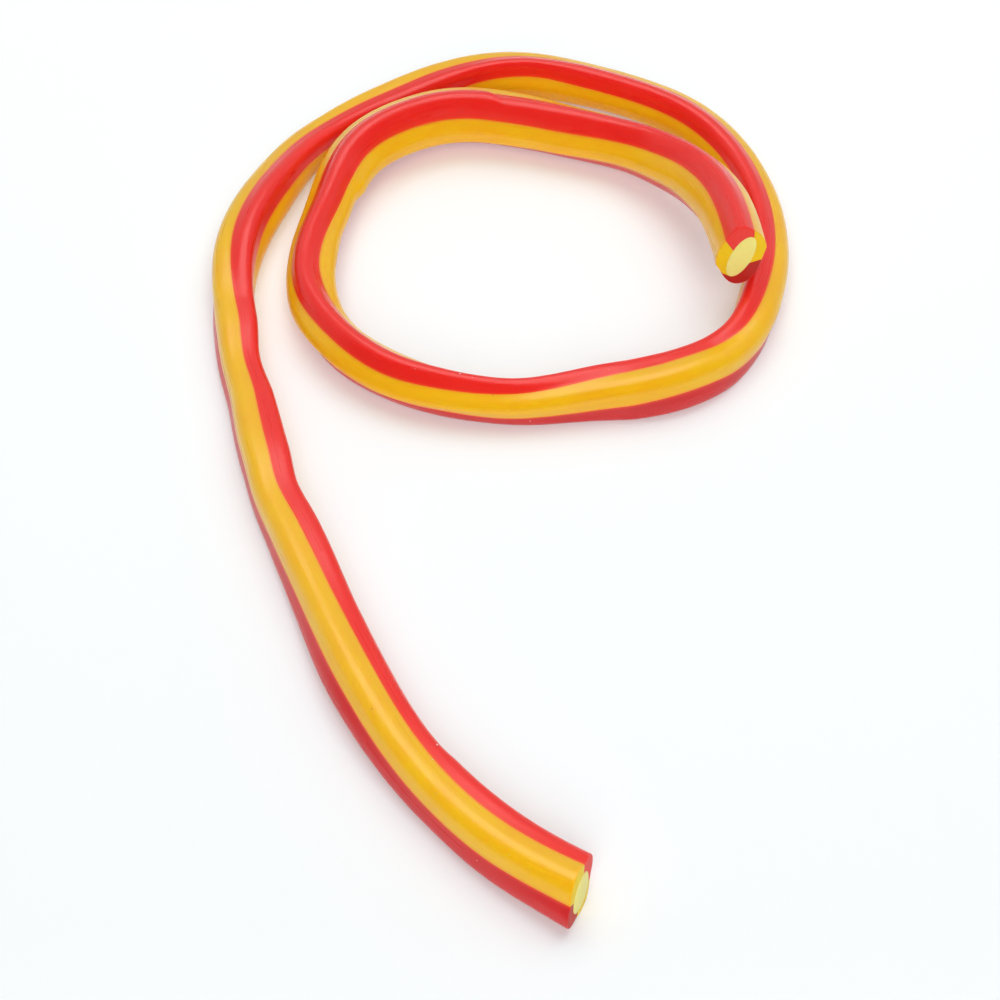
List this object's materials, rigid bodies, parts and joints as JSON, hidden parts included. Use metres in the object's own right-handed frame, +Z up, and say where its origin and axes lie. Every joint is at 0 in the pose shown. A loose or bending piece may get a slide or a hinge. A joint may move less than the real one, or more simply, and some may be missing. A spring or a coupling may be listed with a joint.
{
  "type": "gummy cable",
  "caption": "Long filled gummy cable in four lengthwise yellow and red stripes round a pale filling, laid in a flat spiral with a tail and cut square at both ends.",
  "frame": {"origin": "middle of the underside of the bounding box, on the surface that the cable lies on", "axes": "+Z up; +Y from the tail's cut end toward the coil; +X to the right when the tail points at the viewer"},
  "size_m": [0.1264, 0.2451, 0.0252],
  "materials": {
    "yellow_jelly": "satin, slightly see-through jelly",
    "red_jelly": "satin, slightly see-through jelly",
    "soft_filling": "soft, matt, pale lemon"
  },
  "bodies": {
    "root": {"filling": "soft_filling", "yellow_stripe_a": "yellow_jelly", "red_stripe_a": "red_jelly", "yellow_stripe_b": "yellow_jelly", "red_stripe_b": "red_jelly"}
  },
  "joints": []
}
